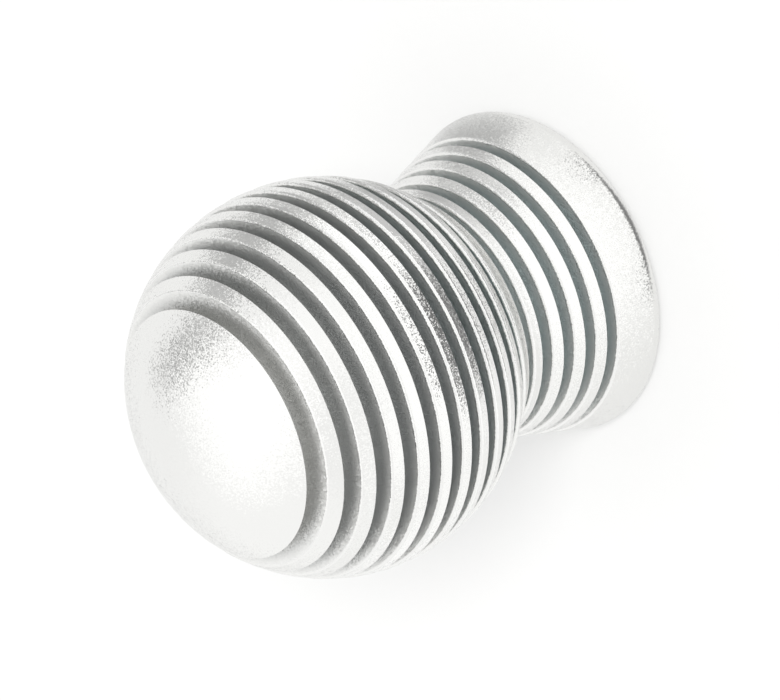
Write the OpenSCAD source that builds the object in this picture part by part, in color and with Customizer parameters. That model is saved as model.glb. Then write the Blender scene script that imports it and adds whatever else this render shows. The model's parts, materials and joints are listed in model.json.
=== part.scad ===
// Round gear shift knob, turned from one bar of aluminium: a finned ball on a finned, flared skirt.
// The knob stands on its flat base, with the axis up and the origin in the middle of the base.

/* [Overall] */
// Height from the base to the top of the dome
height = 63.5; // [62:0.5:66]
// Diameter of the ball
ball_d = 50; // [49:0.5:51]
// Diameter of the skirt at the base, before its edge is rounded
base_d = 45; // [44:0.5:47]
// Slope of the skirt, measured from the axis, in degrees
skirt_angle = 17.2; // [16:0.1:18]
// Radius of the hollow where the skirt runs into the ball
waist_round = 5.5; // [4.5:0.5:6.5]
// Rounding of the skirt's bottom edge
base_round = 1.5; // [0.5:0.25:2]

/* [Grooves in the ball] */
// Height of the smooth dome above the first groove
dome_h = 6.06; // [5.5:0.02:7]
// Number of grooves in the ball
ball_grooves = 11; // [8:1:11]
// Distance from one groove to the next in the ball
ball_pitch = 3.2; // [3:0.05:3.2]
// Width of a groove in the ball
ball_groove_w = 1.7; // [1.2:0.05:1.8]

/* [Grooves in the skirt] */
// Height of the plain band under the lowest groove
band_h = 7; // [6:0.25:8]
// Number of grooves in the skirt
skirt_grooves = 5; // [3:1:5]
// Distance from one groove to the next in the skirt
skirt_pitch = 3; // [2.8:0.05:3]
// Width of a groove in the skirt
skirt_groove_w = 1.45; // [1.1:0.05:1.6]

/* [Cut of the grooves] */
// Depth of every groove, from the outline at the middle of the groove
groove_depth = 3; // [2:0.25:4]
// Rounding of each fin's upper edge; the lower edge is left sharp from the tool
fin_round = 0.4; // [0.2:0.05:0.6]

/* [Shift lever hole] */
// Diameter of the hole's wall, drilled ready for a 12 mm thread of 1.25 mm pitch
hole_d = 10.8; // [8:0.1:14]
// Depth of the hole's straight wall
hole_depth = 28; // [20:1:32]
// Diameter of the countersink at the hole's mouth
hole_mouth_d = 13.2; // [11:0.1:16]
// Angle of the drill's point and of the countersink, in degrees
drill_angle = 118; // [90:1:135]

/* [Hidden] */
$fn = 120;

ball_r = ball_d / 2;
base_r = base_d / 2;
ball_z = height - ball_r;
up = [0, 1];

// The cutting shapes reach this much past the surfaces that they cut
reach = 1;
edge_reach = 0.05;

// The waist's circle touches the ball's circle and the skirt's line from outside. Its centre is
// waist_drop below the ball's centre, which follows from both distances.
waist_centres = ball_r + waist_round;
waist_offset = (base_r - ball_z * tan(skirt_angle)) * cos(skirt_angle) + waist_round;
waist_drop = sqrt(waist_centres ^ 2 - waist_offset ^ 2) * cos(skirt_angle) - waist_offset * sin(skirt_angle);
waist_z = ball_z - waist_drop;
waist_x = sqrt(waist_centres ^ 2 - waist_drop ^ 2);

// Heights at which the outline changes from ball to waist and from waist to skirt, on the outline
// itself or on the line that lies inset inside it
function ball_seam_z(inset) = ball_z - waist_drop * (ball_r - inset) / waist_centres;
function skirt_seam_z(inset) = waist_z - (waist_round + inset) * sin(skirt_angle);

// Distance from the axis at the height z, of the outline or of the line inset inside it
function outline_r(z, inset = 0) =
    z > ball_seam_z(inset) ? sqrt((ball_r - inset) ^ 2 - (z - ball_z) ^ 2) :
    z > skirt_seam_z(inset) ? waist_x - sqrt((waist_round + inset) ^ 2 - (z - waist_z) ^ 2) :
    base_r - z * tan(skirt_angle) - inset / cos(skirt_angle);

// Outward direction there, of length one
function outline_out(z, inset) =
    let (r = outline_r(z, inset))
    z > ball_seam_z(inset) ? [r, z - ball_z] / (ball_r - inset) :
    z > skirt_seam_z(inset) ? [waist_x - r, waist_z - z] / (waist_round + inset) :
    [cos(skirt_angle), sin(skirt_angle)];

// What a rounding takes off a corner: the corner between two faces that look along a and b, beyond
// the circle of radius r at the centre c, which touches both
module corner_cut(c, r, a, b) {
    far = r + edge_reach;
    difference() {
        polygon([c, c + far * a, c + far * (a + b) / (1 + a * b), c + far * b]);
        translate(c) circle(r);
    }
}

// Half of the blank's section, as the lathe leaves it before the grooves are cut
module blank_section() {
    intersection() {
        translate([0, ball_z]) circle(ball_r);
        translate([0, ball_z - ball_r]) square([ball_r, ball_d]);
    }
    difference() {
        polygon([
            [0, 0],
            [base_r, 0],
            [outline_r(skirt_seam_z(0)), skirt_seam_z(0)],
            [waist_x, waist_z],
            [outline_r(ball_seam_z(0)), ball_seam_z(0)],
            [0, ball_z],
        ]);
        translate([waist_x, waist_z]) circle(waist_round);
        corner_cut(
            [outline_r(base_round, base_round), base_round],
            base_round,
            outline_out(base_round, base_round),
            -up
        );
    }
}

// Section of one groove: a slot cut straight in, and the rounding of the fin below it
module groove_section(bottom_z, w) {
    floor_r = outline_r(bottom_z + w / 2) - groove_depth;
    edge_z = bottom_z - fin_round;
    edge_r = outline_r(edge_z, fin_round);
    translate([floor_r, bottom_z]) square([ball_r + reach - floor_r, w]);
    corner_cut([edge_r, edge_z], fin_round, up, outline_out(edge_z, fin_round));
}

module groove_sections() {
    for (i = [0 : ball_grooves - 1])
        groove_section(height - dome_h - ball_groove_w - i * ball_pitch, ball_groove_w);
    for (i = [0 : skirt_grooves - 1])
        groove_section(band_h + i * skirt_pitch, skirt_groove_w);
}

// Blind hole for the lever's thread, with a drilled point and a countersunk mouth
module lever_hole() {
    point_h = hole_d / 2 / tan(drill_angle / 2);
    mouth_h = (hole_mouth_d - hole_d) / 2 / tan(drill_angle / 2);
    translate([0, 0, -reach]) cylinder(h = hole_depth + reach, d = hole_d);
    translate([0, 0, hole_depth]) cylinder(h = point_h, d1 = hole_d, d2 = 0);
    cylinder(h = mouth_h, d1 = hole_mouth_d, d2 = hole_d);
}

module knob_body() {
    color("silver") difference() {
        rotate_extrude() difference() {
            blank_section();
            groove_sections();
        }
        lever_hole();
    }
}

knob_body();
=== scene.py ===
"""Gear shift knob, turned from aluminium: the visible knob, its thread, its finish and the studio."""

import json
import math

import bpy
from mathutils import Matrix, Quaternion, Vector


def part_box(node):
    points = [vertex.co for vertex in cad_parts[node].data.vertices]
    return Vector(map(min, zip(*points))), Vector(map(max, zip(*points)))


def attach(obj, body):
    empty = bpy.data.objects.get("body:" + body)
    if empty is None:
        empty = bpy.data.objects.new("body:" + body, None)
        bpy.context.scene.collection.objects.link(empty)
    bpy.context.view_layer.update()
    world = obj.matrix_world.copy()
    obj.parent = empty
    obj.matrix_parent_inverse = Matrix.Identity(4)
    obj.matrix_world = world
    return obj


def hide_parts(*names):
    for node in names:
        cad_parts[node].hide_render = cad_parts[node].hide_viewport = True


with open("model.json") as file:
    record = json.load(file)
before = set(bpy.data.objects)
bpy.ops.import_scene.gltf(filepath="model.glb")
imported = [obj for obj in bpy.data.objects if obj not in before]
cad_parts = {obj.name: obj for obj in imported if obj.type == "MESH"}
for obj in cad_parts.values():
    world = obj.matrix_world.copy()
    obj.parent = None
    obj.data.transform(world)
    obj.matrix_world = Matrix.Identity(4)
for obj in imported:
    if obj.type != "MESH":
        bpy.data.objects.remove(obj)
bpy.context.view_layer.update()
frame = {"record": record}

MM = 0.001

# Sizes that the frame gives
low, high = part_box("knob_body")
hole = next(m for m in frame["record"]["mounts"] if m["name"] == "lever_thread")
HEIGHT = high.z
BALL_R = (high.x - low.x) / 2
BALL_Z = HEIGHT - BALL_R
DRILL_R = hole["dims"]["r_mm"] * MM

# Outline of the skirt and the waist
BASE_R = 22.5 * MM
SKIRT_ANGLE = math.radians(17.2)
WAIST_ROUND = 5.5 * MM
BASE_ROUND = 1.5 * MM

# Grooves: the ball's are counted down from the dome, the skirt's up from the plain band
DOME_H = 6.06 * MM
BALL_GROOVES = 11
BALL_PITCH = 3.2 * MM
BALL_GROOVE_W = 1.7 * MM
BAND_H = 7 * MM
SKIRT_GROOVES = 5
SKIRT_PITCH = 3 * MM
SKIRT_GROOVE_W = 1.45 * MM
GROOVE_DEPTH = 3 * MM

# Each fin's upper edge is rounded; the tool breaks its lower edge
FIN_ROUND = 0.4 * MM
TOOL_BREAK = 0.05 * MM

# Hole for the lever, drilled, countersunk and tapped M12 x 1.25
HOLE_DEPTH = 28 * MM
MOUTH_R = 6.6 * MM
DRILL_HALF_ANGLE = math.radians(59)
THREAD_R = 6 * MM
THREAD_PITCH = 1.25 * MM
THREAD_TURNS = 20
THREAD_HALF_ANGLE = math.radians(30)
# Width of the thread's ridge where it leaves the full radius, and how far it is sunk into the wall there
RIDGE_W = THREAD_PITCH * 7 / 8
RIDGE_SINK = 0.05 * MM

# Fineness of the turned mesh and of the thread
TURN_STEPS = 192
THREAD_STEPS = 48
ARC_STEP = math.radians(9)
OUTLINE_STEP = math.radians(2.5)
# The straight skirt is drawn in stretches as long as those of an arc of this radius
SKIRT_STEP_R = 100 * MM
# On the dome's level top a stretch still drops by this share of its length
LEAST_DROP = 0.06

# Edges that bend by more than this stay sharp
SHARP_ANGLE = math.radians(25)
# Points nearer to each other than this are one point
WELD = 0.001 * MM
# The countersink's cut leaves slivers narrower than this
SLIVER = 0.002 * MM
# Heights nearer to each other than this are the same
SAME_HEIGHT = 1e-9


def linear(code):
    """An sRGB hex colour as the linear RGBA that a shader takes."""
    parts = [int(code[i : i + 2], 16) / 255 for i in (1, 3, 5)]
    return [p / 12.92 if p <= 0.04045 else ((p + 0.055) / 1.055) ** 2.4 for p in parts] + [1.0]


# Outline of the knob

# The waist's circle touches the ball's circle and the skirt's line from outside
SIN, COS, TAN = math.sin(SKIRT_ANGLE), math.cos(SKIRT_ANGLE), math.tan(SKIRT_ANGLE)
WAIST_CENTRES = BALL_R + WAIST_ROUND
WAIST_OFFSET = (BASE_R - BALL_Z * TAN) * COS + WAIST_ROUND
WAIST_DROP = math.sqrt(WAIST_CENTRES**2 - WAIST_OFFSET**2) * COS - WAIST_OFFSET * SIN
WAIST_Z = BALL_Z - WAIST_DROP
WAIST_X = math.sqrt(WAIST_CENTRES**2 - WAIST_DROP**2)


def zone(z, inset):
    """Which stretch of the outline lies at height z: the ball, the waist or the skirt."""
    if z > BALL_Z - WAIST_DROP * (BALL_R - inset) / WAIST_CENTRES:
        return "ball"
    return "waist" if z > WAIST_Z - (WAIST_ROUND + inset) * SIN else "skirt"


def outline_r(z, inset=0.0):
    """Distance from the axis, of the outline or of the line that lies inset inside it."""
    where = zone(z, inset)
    if where == "ball":
        return math.sqrt(max((BALL_R - inset) ** 2 - (z - BALL_Z) ** 2, 0))
    if where == "waist":
        return WAIST_X - math.sqrt((WAIST_ROUND + inset) ** 2 - (z - WAIST_Z) ** 2)
    return BASE_R - z * TAN - inset / COS


def outline_tilt(z, inset):
    """Angle of the outward direction above the level there."""
    where = zone(z, inset)
    if where == "ball":
        return math.asin((z - BALL_Z) / (BALL_R - inset))
    return math.asin((WAIST_Z - z) / (WAIST_ROUND + inset)) if where == "waist" else SKIRT_ANGLE


def groove_spans():
    """(bottom, top) of every groove, from the dome down."""
    ball = [HEIGHT - DOME_H - i * BALL_PITCH for i in range(BALL_GROOVES)]
    skirt = [BAND_H + SKIRT_GROOVE_W + i * SKIRT_PITCH for i in range(SKIRT_GROOVES)]
    return [(z - BALL_GROOVE_W, z) for z in ball] + [(z - SKIRT_GROOVE_W, z) for z in skirt[::-1]]


# Drawing and turning a section


def pen_at(name, r, z):
    """Starts a new mesh with one point in the section's plane, selected in edit mode."""
    bpy.ops.object.select_all(action="DESELECT")
    bpy.ops.mesh.primitive_plane_add(size=MM, location=(r, 0, z))
    bpy.context.object.name = name
    bpy.ops.object.transform_apply(location=True)
    bpy.ops.object.mode_set(mode="EDIT")
    bpy.ops.mesh.select_all(action="SELECT")
    bpy.ops.mesh.merge(type="CENTER")
    return [r, z]


def line_to(pen, r, z):
    """Draws a straight stretch of the section."""
    step = {"value": (r - pen[0], 0, z - pen[1])}
    bpy.ops.mesh.extrude_vertices_move(TRANSFORM_OT_translate=step)
    pen[:] = [r, z]


def arc_to(pen, centre_r, centre_z, angle):
    """Draws an arc of the section round a centre; a positive angle turns from out to up, as spin does."""
    steps = max(2, math.ceil(abs(angle) / ARC_STEP))
    bpy.ops.mesh.spin(steps=steps, angle=angle, center=(centre_r, 0, centre_z), axis=(0, 1, 0))
    r, z = pen[0] - centre_r, pen[1] - centre_z
    cos, sin = math.cos(angle), math.sin(angle)
    pen[:] = [centre_r + r * cos - z * sin, centre_z + r * sin + z * cos]


def outline_to(pen, z):
    """Draws the knob's outline down to height z, in stretches that end without a short one."""
    bend_r = {"ball": BALL_R, "waist": WAIST_ROUND, "skirt": SKIRT_STEP_R}
    while pen[1] - z > SAME_HEIGHT:
        steepness = abs(math.cos(outline_tilt(pen[1], 0)))
        drop = bend_r[zone(pen[1] - SAME_HEIGHT, 0)] * OUTLINE_STEP * max(steepness, LEAST_DROP)
        left = pen[1] - z
        lower = z if left < 1.5 * drop else pen[1] - min(drop, left / 2)
        line_to(pen, outline_r(lower), lower)


def finish_turning():
    """Turns the drawn section round the axis into a closed body."""
    bpy.ops.mesh.select_all(action="SELECT")
    bpy.ops.mesh.spin(
        steps=TURN_STEPS, angle=2 * math.pi, center=(0, 0, 0), axis=(0, 0, 1), use_auto_merge=True
    )
    bpy.ops.mesh.select_all(action="SELECT")
    bpy.ops.mesh.remove_doubles(threshold=WELD)
    bpy.ops.mesh.normals_make_consistent(inside=False)
    bpy.ops.object.mode_set(mode="OBJECT")
    bpy.ops.object.shade_smooth_by_angle(angle=SHARP_ANGLE)
    bpy.ops.object.modifier_add(type="WEIGHTED_NORMAL")
    weighting = bpy.context.object.modifiers[-1]
    weighting.keep_sharp = True
    bpy.ops.object.modifier_apply(modifier=weighting.name)
    return bpy.context.object


# The knob and its thread


def turned_knob():
    """The whole knob as the lathe leaves it, from the top of the dome round to the hole's point."""
    pen = pen_at("turned_knob", 0, HEIGHT)
    for bottom, top in groove_spans():
        floor_r = outline_r((bottom + top) / 2) - GROOVE_DEPTH
        edge_z = bottom - FIN_ROUND
        edge_r = outline_r(edge_z, FIN_ROUND)
        outline_to(pen, top + TOOL_BREAK)
        line_to(pen, outline_r(top) - TOOL_BREAK, top)
        line_to(pen, floor_r, top)
        line_to(pen, floor_r, bottom)
        line_to(pen, edge_r, bottom)
        arc_to(pen, edge_r, edge_z, outline_tilt(edge_z, FIN_ROUND) - math.pi / 2)
    outline_to(pen, BASE_ROUND + BASE_ROUND * SIN)
    arc_to(pen, outline_r(BASE_ROUND, BASE_ROUND), BASE_ROUND, -math.pi / 2 - SKIRT_ANGLE)
    line_to(pen, MOUTH_R, 0)
    line_to(pen, THREAD_R, (MOUTH_R - THREAD_R) / math.tan(DRILL_HALF_ANGLE))
    thread_end = THREAD_PITCH * THREAD_TURNS
    line_to(pen, THREAD_R, thread_end)
    line_to(pen, DRILL_R, thread_end + (THREAD_R - DRILL_R))
    line_to(pen, DRILL_R, HOLE_DEPTH)
    line_to(pen, 0, HOLE_DEPTH + DRILL_R / math.tan(DRILL_HALF_ANGLE))
    return finish_turning()


def thread_ridge():
    """The thread's turns, as one ridge that winds up the bore.

    It starts a turn below the base and ends in the drilled wall, a turn past the thread's end.
    """
    spare_turns = 2
    middle = -THREAD_PITCH
    foot_r = THREAD_R + RIDGE_SINK
    flank = math.tan(THREAD_HALF_ANGLE)
    crest_half = RIDGE_W / 2 - (THREAD_R - DRILL_R) * flank
    foot_half = crest_half + (foot_r - DRILL_R) * flank
    pen = pen_at("thread_ridge", foot_r, middle - foot_half)
    line_to(pen, DRILL_R, middle - crest_half)
    line_to(pen, DRILL_R, middle + crest_half)
    line_to(pen, foot_r, middle + foot_half)
    bpy.ops.mesh.select_all(action="SELECT")
    bpy.ops.mesh.edge_face_add()
    bpy.ops.mesh.delete(type="ONLY_FACE")
    bpy.ops.object.mode_set(mode="OBJECT")
    bpy.ops.object.modifier_add(type="SCREW")
    screw = bpy.context.object.modifiers[-1]
    screw.axis = "Z"
    screw.angle = 2 * math.pi
    screw.screw_offset = THREAD_PITCH
    screw.iterations = THREAD_TURNS + spare_turns
    screw.steps = screw.render_steps = THREAD_STEPS
    bpy.ops.object.modifier_apply(modifier=screw.name)
    bpy.ops.object.mode_set(mode="EDIT")
    bpy.ops.mesh.select_all(action="SELECT")
    bpy.ops.mesh.remove_doubles(threshold=WELD)
    bpy.ops.mesh.fill_holes(sides=4)
    bpy.ops.mesh.select_all(action="SELECT")
    bpy.ops.mesh.normals_make_consistent(inside=False)
    bpy.ops.object.mode_set(mode="OBJECT")
    return bpy.context.object


def cut_to_countersink(ridge):
    """Takes off what the ridge would leave standing in the countersink and below the base."""
    below = 2 * MM
    slope = math.tan(DRILL_HALF_ANGLE)
    bottom_r = MOUTH_R + below * slope
    height = bottom_r / slope
    bpy.ops.object.select_all(action="DESELECT")
    bpy.ops.mesh.primitive_cone_add(
        vertices=TURN_STEPS, radius1=bottom_r, radius2=0, depth=height, location=(0, 0, height / 2 - below)
    )
    cutter = bpy.context.object
    bpy.context.view_layer.objects.active = ridge
    bpy.ops.object.modifier_add(type="BOOLEAN")
    cut = ridge.modifiers[-1]
    cut.operation = "DIFFERENCE"
    cut.solver = "EXACT"
    cut.object = cutter
    bpy.ops.object.modifier_apply(modifier=cut.name)
    bpy.data.objects.remove(cutter)
    bpy.ops.object.select_all(action="DESELECT")
    ridge.select_set(True)
    bpy.ops.object.mode_set(mode="EDIT")
    bpy.ops.mesh.select_all(action="SELECT")
    bpy.ops.mesh.dissolve_degenerate(threshold=SLIVER)
    bpy.ops.object.mode_set(mode="OBJECT")
    bpy.ops.object.shade_smooth_by_angle(angle=SHARP_ANGLE)


def measure_groove_depth(piece):
    """Writes how deep every point lies in a groove, for the finish and painted shade that follow the
    depth.
    """
    depth = piece.data.attributes.new("groove_depth", "FLOAT", "POINT")
    spans = groove_spans()
    for point in piece.data.vertices:
        z, r = point.co.z, math.hypot(point.co.x, point.co.y)
        in_groove = any(bottom - WELD < z < top + WELD for bottom, top in spans)
        deep = outline_r(z) - r if in_groove and r > MOUTH_R else 0
        depth.data[point.index].value = max(deep, 0)


# Materials


def node(tree, kind, settings=None, links=None):
    """Adds a shader node, sets its inputs or properties, and links its inputs to other nodes' outputs."""
    made = tree.nodes.new(kind)
    for key, value in (settings or {}).items():
        if isinstance(key, int) or key in made.inputs:
            made.inputs[key].default_value = value
        else:
            setattr(made, key, value)
    for key, source in (links or {}).items():
        tree.links.new(source, made.inputs[key])
    return made


def new_material(name):
    """A material with an empty node tree, and that tree."""
    made = bpy.data.materials.new(name)
    made.use_nodes = True
    made.node_tree.nodes.clear()
    return made, made.node_tree


def bead_blasted_aluminium():
    """Clear-anodised aluminium, bead-blasted: a satin silver that breaks highlights into a fine grain.

    The walls of the grooves are rougher and more matt than the fins' rims, and painted shade darkens them
    with depth, so that they run softly from light at the edge to dark at the root; the painted shade is
    also a little cool.
    """
    # The real dents are about 0.1 mm across; drawn coarser, so that they show in the render
    grit = 0.13 * MM
    # How far the dents lean, and how rough the metal in them is, on the rims and on the walls
    rim_tilt = 0.28
    wall_tilt = 0.4
    rim_roughness = 0.18
    wall_roughness = 0.46
    # Rim colour, and the grooves' painted shade by share of the height: darkest and coolest by the waist
    rim_colour = "#EEEEEC"
    groove_shade_colours = (
        (0.0, "#D8DEDE"),
        (0.32, "#D8DEDE"),
        (0.38, "#A8B3B3"),
        (0.64, "#C2C4C4"),
        (0.84, "#CFD0CF"),
        (0.9, "#DFDFDD"),
    )
    # Depths at which the grooves' painted shade begins and is full
    shade_begins = 0.2 * MM
    shade_full = 1.8 * MM
    made, tree = new_material("bead_blasted_aluminium")
    place = node(tree, "ShaderNodeTexCoord")
    surface = node(tree, "ShaderNodeNewGeometry")
    depth = node(tree, "ShaderNodeAttribute", {"attribute_name": "groove_depth"})
    inside = node(
        tree,
        "ShaderNodeMapRange",
        {"interpolation_type": "SMOOTHSTEP", "From Min": shade_begins, "From Max": shade_full},
        {"Value": depth.outputs["Fac"]},
    )
    parts = node(tree, "ShaderNodeSeparateXYZ", None, {"Vector": place.outputs["Object"]})
    along = node(tree, "ShaderNodeMapRange", {"From Max": HEIGHT}, {"Value": parts.outputs["Z"]})
    ramp = node(tree, "ShaderNodeValToRGB", None, {"Fac": along.outputs["Result"]})
    stops = ramp.color_ramp.elements
    while len(stops) < len(groove_shade_colours):
        stops.new(1.0)
    for stop, (share, code) in zip(stops, groove_shade_colours):
        stop.position = share
        stop.color = linear(code)
    # Every dent leans its own way, by as much as the cell's colour is off middle grey
    dents = node(tree, "ShaderNodeTexVoronoi", {"Scale": 1 / grit}, {"Vector": place.outputs["Object"]})
    lean = node(
        tree,
        "ShaderNodeVectorMath",
        {"operation": "SUBTRACT", 1: (0.5, 0.5, 0.5)},
        {0: dents.outputs["Color"]},
    )
    # The fins' rounding ends at the depth FIN_ROUND, and there the walls have their full finish
    tilt = node(
        tree,
        "ShaderNodeMapRange",
        {"From Max": FIN_ROUND, "To Min": rim_tilt, "To Max": wall_tilt},
        {"Value": depth.outputs["Fac"]},
    )
    roughness = node(
        tree,
        "ShaderNodeMapRange",
        {"From Max": FIN_ROUND, "To Min": rim_roughness, "To Max": wall_roughness},
        {"Value": depth.outputs["Fac"]},
    )
    leaning = node(
        tree,
        "ShaderNodeVectorMath",
        {"operation": "MULTIPLY_ADD"},
        {0: lean.outputs[0], 1: tilt.outputs["Result"], 2: surface.outputs["Normal"]},
    )
    grain = node(tree, "ShaderNodeVectorMath", {"operation": "NORMALIZE"}, {0: leaning.outputs[0]})
    # Painted shade: with depth, the rims' colour gives way to the grooves' darker colour
    colour = node(
        tree,
        "ShaderNodeMix",
        {"data_type": "RGBA", 6: linear(rim_colour)},
        {0: inside.outputs["Result"], 7: ramp.outputs["Color"]},
    )
    metal = node(
        tree,
        "ShaderNodeBsdfPrincipled",
        {"Metallic": 1.0},
        {
            "Base Color": colour.outputs[2],
            "Roughness": roughness.outputs["Result"],
            "Normal": grain.outputs[0],
        },
    )
    node(tree, "ShaderNodeOutputMaterial", None, {"Surface": metal.outputs["BSDF"]})
    return made


def tapped_aluminium():
    """The tapped bore: bare bright metal, with the fine lines that the tap leaves round it."""
    line_spacing = 0.08 * MM
    line_depth = 0.01 * MM
    # The pattern is drawn out this much round the bore, so that its specks become lines
    drawn_out = 0.15
    made, tree = new_material("tapped_aluminium")
    place = node(tree, "ShaderNodeTexCoord")
    along = node(
        tree,
        "ShaderNodeMapping",
        {"Scale": (drawn_out, drawn_out, 1.0)},
        {"Vector": place.outputs["Object"]},
    )
    lines = node(
        tree,
        "ShaderNodeTexNoise",
        {"Scale": 1 / line_spacing, "Detail": 1.0, "Roughness": 0.5},
        {"Vector": along.outputs["Vector"]},
    )
    bump = node(
        tree,
        "ShaderNodeBump",
        {"Strength": 0.6, "Distance": line_depth},
        {"Height": lines.outputs["Fac"]},
    )
    metal = node(
        tree,
        "ShaderNodeBsdfPrincipled",
        {"Base Color": linear("#D6D6D3"), "Metallic": 1.0, "Roughness": 0.22},
        {"Normal": bump.outputs["Normal"]},
    )
    node(tree, "ShaderNodeOutputMaterial", None, {"Surface": metal.outputs["BSDF"]})
    return made


def join_thread(knob, ridge):
    """Makes the ridge part of the turned knob, and gives the bore and the ridge the tapped finish."""
    knob.data.materials.append(bead_blasted_aluminium())
    knob.data.materials.append(tapped_aluminium())
    ridge.data.materials.append(knob.data.materials[1])
    for face in knob.data.polygons:
        if math.hypot(face.center.x, face.center.y) < MOUTH_R and face.center.z < BALL_Z:
            face.material_index = 1
    bpy.ops.object.select_all(action="DESELECT")
    ridge.select_set(True)
    knob.select_set(True)
    bpy.context.view_layer.objects.active = knob
    bpy.ops.object.join()


knob = turned_knob()
ridge = thread_ridge()
cut_to_countersink(ridge)
measure_groove_depth(knob)
join_thread(knob, ridge)
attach(knob, "root")
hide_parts("knob_body")


# Studio

# The camera stands above the dome's side, rolled so that the knob lies as in the photo
CAMERA_LENS = 172.14
CAMERA_HEIGHT_ANGLE = math.radians(37.21)
CAMERA_ROLL = math.radians(-117.27)
# The ball's centre as the camera sees it: right, up and back from the lens
BALL_IN_VIEW = Vector((-7.971, -3.375, -462.871)) * MM
NEAREST_SEEN = 10 * MM

look = Vector((0, math.cos(CAMERA_HEIGHT_ANGLE), -math.sin(CAMERA_HEIGHT_ANGLE)))
aim = look.to_track_quat("-Z", "Y") @ Quaternion((0, 0, 1), CAMERA_ROLL)
ball_centre = Vector((0, 0, BALL_Z))

# The floor, in metres, lies just under the base
FLOOR_SIZE = 6
FLOOR_Z = -0.05 * MM

# The lamp for the floor: azimuth and elevation, the width of its light, in degrees, and its strength
PAPER_LAMP = ((8, 40), 22, 2.2)

# Soft lamps: name, azimuth and elevation in degrees, width, height and distance in metres, and radiance
SOFTBOXES = (
    ("key_lamp", (28, 38), 0.6, 1.0, 0.6, 0.12),
    ("left_lamp", (-125, 28), 0.9, 0.7, 0.6, 0.06),
    ("front_lamp", (-32, 4), 1.3, 0.34, 0.6, 0.16),
    ("top_lamp", (0, 90), 0.8, 0.8, 0.6, 0.2),
)

# Cards: name, middle, the way it faces, width and height, in mm, and radiance
CARDS = (
    ("side_card", (64, -3, 50), (-1, 0, 0), 40, 110, 0.52),
    ("side_floor_card", (44, -3, 0.4), (0, 0, 1), 50, 28, 0.5),
    ("corner_card", (34, -26, 10), (0, 0, 1), 42, 36, 0.62),
    ("upper_side_card", (73, 41, 125), (-73, -41, -87), 114, 32, 0.38),
    # The next two are painted shade: dark glowing sheets that the metal mirrors in place of the floor's
    # shade near the knob
    ("front_shade_card", (-5, -51, 17), (0, 0, 1), 66, 47, 0.17),
    ("base_shade_card", (1, -23.8, 0.35), (0, 0, 1), 38, 4.6, 0.25),
    ("floor_card", (-100, -425, 0.2), (0, 0, 1), 1200, 800, 1.18),
    ("near_floor_card", (30, -112, 0.3), (0, 0, 1), 480, 196, 1.26),
    ("left_floor_card", (-150, 10, 0.4), (0, 0, 1), 240, 260, 1.12),
)


def add_camera():
    """The camera, placed so that it sees the ball's centre at BALL_IN_VIEW."""
    bpy.ops.object.camera_add(location=ball_centre - aim @ BALL_IN_VIEW)
    camera = bpy.context.object
    camera.rotation_mode = "QUATERNION"
    camera.rotation_quaternion = aim
    camera.data.lens = CAMERA_LENS
    camera.data.clip_start = NEAREST_SEEN
    bpy.context.scene.camera = camera


def add_world():
    """An even white room, at the strength at which a colour renders about as it is written."""
    world = bpy.data.worlds.new("studio")
    bpy.context.scene.world = world
    world.use_nodes = True
    world.node_tree.nodes["Background"].inputs["Color"].default_value = linear("#FFFFFF")
    world.node_tree.nodes["Background"].inputs["Strength"].default_value = 1.0


def towards(azimuth, elevation):
    """A direction from the knob; azimuth 0 is the camera's side and 90 is +X."""
    azimuth, elevation = math.radians(azimuth), math.radians(elevation)
    level = math.cos(elevation)
    return Vector((level * math.sin(azimuth), -level * math.cos(azimuth), math.sin(elevation)))


def add_lamp(name, kind, side, distance):
    """A lamp that shines on the ball from the given side, at that distance from its centre."""
    bpy.ops.object.light_add(type=kind, location=ball_centre + side * distance)
    lamp = bpy.context.object
    lamp.name = name
    lamp.rotation_mode = "QUATERNION"
    lamp.rotation_quaternion = (-side).to_track_quat("-Z", "Y")
    lamp.visible_camera = False
    return lamp


def add_paper_lamp(side, spread, strength):
    """A soft lamp for the floor alone, from the side that lays the shadow where the photo has it."""
    lamp = add_lamp("paper_lamp", "SUN", towards(*side), 1)
    lamp.data.angle = math.radians(spread)
    lamp.data.energy = strength
    lamp.visible_glossy = False


def add_softbox(name, side, width, height, distance, radiance):
    """A soft lamp on the given side of the ball; it adds the radiance to the white room's."""
    lamp = add_lamp(name, "AREA", towards(*side), distance)
    lamp.data.shape = "RECTANGLE"
    lamp.data.size, lamp.data.size_y = width, height
    lamp.data.energy = radiance * math.pi * width * height


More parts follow.
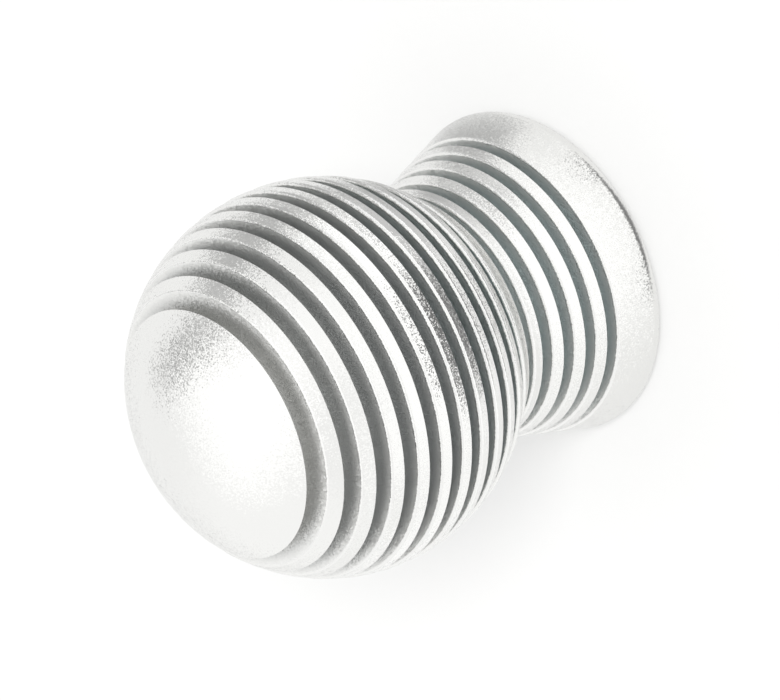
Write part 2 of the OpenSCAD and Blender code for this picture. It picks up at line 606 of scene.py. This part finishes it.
def pale_paper():
    """Plain pale paper, which takes the knob's soft shadow.

    The camera sees it as white, and the metal as nearly white. From below it is clear to the camera, so
    that the knob's base can be looked at.
    """
    # Share of the paper's look that is its own glow, whatever light falls on it
    camera_share = 0.3
    metal_share = 0.6
    # How much less than white the paper glows in the metal
    metal_loss = 0.08
    made, tree = new_material("pale_paper")
    rays = node(tree, "ShaderNodeLightPath")
    face = node(tree, "ShaderNodeNewGeometry")
    in_metal = node(
        tree,
        "ShaderNodeMath",
        {"operation": "MAXIMUM"},
        {0: rays.outputs["Is Glossy Ray"], 1: rays.outputs["Is Transmission Ray"]},
    )
    metal_part = node(
        tree, "ShaderNodeMath", {"operation": "MULTIPLY", 1: metal_share}, {0: in_metal.outputs[0]}
    )
    white = node(
        tree,
        "ShaderNodeMath",
        {"operation": "MULTIPLY_ADD", 1: -metal_loss, 2: 1.0},
        {0: in_metal.outputs[0]},
    )
    share = node(
        tree,
        "ShaderNodeMath",
        {"operation": "MULTIPLY_ADD", 1: camera_share},
        {0: rays.outputs["Is Camera Ray"], 2: metal_part.outputs[0]},
    )
    paper = node(tree, "ShaderNodeBsdfDiffuse", {"Color": linear("#DADAD9")})
    glow = node(tree, "ShaderNodeEmission", {"Color": linear("#FFFFFF")}, {"Strength": white.outputs[0]})
    top = node(
        tree,
        "ShaderNodeMixShader",
        None,
        {0: share.outputs[0], 1: paper.outputs["BSDF"], 2: glow.outputs["Emission"]},
    )
    below = node(
        tree,
        "ShaderNodeMath",
        {"operation": "MULTIPLY"},
        {0: face.outputs["Backfacing"], 1: rays.outputs["Is Camera Ray"]},
    )
    clear = node(tree, "ShaderNodeBsdfTransparent")
    sheet = node(
        tree,
        "ShaderNodeMixShader",
        None,
        {0: below.outputs[0], 1: top.outputs["Shader"], 2: clear.outputs["BSDF"]},
    )
    node(tree, "ShaderNodeOutputMaterial", None, {"Surface": sheet.outputs["Shader"]})
    return made


def add_floor():
    """The sheet of paper that the knob stands on."""
    bpy.ops.object.select_all(action="DESELECT")
    bpy.ops.mesh.primitive_plane_add(size=FLOOR_SIZE, location=(0, 0, FLOOR_Z))
    floor = bpy.context.object
    floor.name = "floor"
    floor.data.materials.append(pale_paper())


def card_glow(radiance):
    """A sheet that glows grey or bright, fades out towards its edges, and is clear from behind."""
    # A card is 1 mm wide before it is scaled, so it is even up to 0.25 mm off its middle and ends at 0.5
    edge = {"interpolation_type": "SMOOTHSTEP", "From Min": 0.5 * MM, "From Max": 0.25 * MM}
    made, tree = new_material("card_glow")
    place = node(tree, "ShaderNodeTexCoord")
    face = node(tree, "ShaderNodeNewGeometry")
    off = node(tree, "ShaderNodeVectorMath", {"operation": "ABSOLUTE"}, {0: place.outputs["Object"]})
    parts = node(tree, "ShaderNodeSeparateXYZ", None, {"Vector": off.outputs[0]})
    across = node(tree, "ShaderNodeMapRange", edge, {"Value": parts.outputs["X"]})
    along = node(tree, "ShaderNodeMapRange", edge, {"Value": parts.outputs["Y"]})
    both = node(
        tree,
        "ShaderNodeMath",
        {"operation": "MULTIPLY"},
        {0: across.outputs["Result"], 1: along.outputs["Result"]},
    )
    front = node(
        tree, "ShaderNodeMath", {"operation": "SUBTRACT", 0: 1.0}, {1: face.outputs["Backfacing"]}
    )
    solid = node(
        tree, "ShaderNodeMath", {"operation": "MULTIPLY"}, {0: both.outputs[0], 1: front.outputs[0]}
    )
    clear = node(tree, "ShaderNodeBsdfTransparent")
    glow = node(tree, "ShaderNodeEmission", {"Color": linear("#FFFFFF"), "Strength": radiance})
    card = node(
        tree,
        "ShaderNodeMixShader",
        None,
        {0: solid.outputs[0], 1: clear.outputs["BSDF"], 2: glow.outputs["Emission"]},
    )
    node(tree, "ShaderNodeOutputMaterial", None, {"Surface": card.outputs["Shader"]})
    return made


def add_card(name, place, facing, width, height, radiance):
    """A glowing card that only the metal sees, for a darker or brighter stretch in its reflections."""
    bpy.ops.object.select_all(action="DESELECT")
    bpy.ops.mesh.primitive_plane_add(size=MM, location=Vector(place) * MM)
    card = bpy.context.object
    card.name = name
    card.rotation_mode = "QUATERNION"
    card.rotation_quaternion = Vector(facing).to_track_quat("Z", "Y")
    card.scale = (width, height, 1)
    card.data.materials.append(card_glow(radiance))
    card.visible_camera = card.visible_diffuse = card.visible_shadow = False


add_camera()
add_floor()
add_world()
add_paper_lamp(*PAPER_LAMP)
for softbox in SOFTBOXES:
    add_softbox(*softbox)
for card in CARDS:
    add_card(*card)

bpy.context.scene.view_settings.view_transform = "Standard"
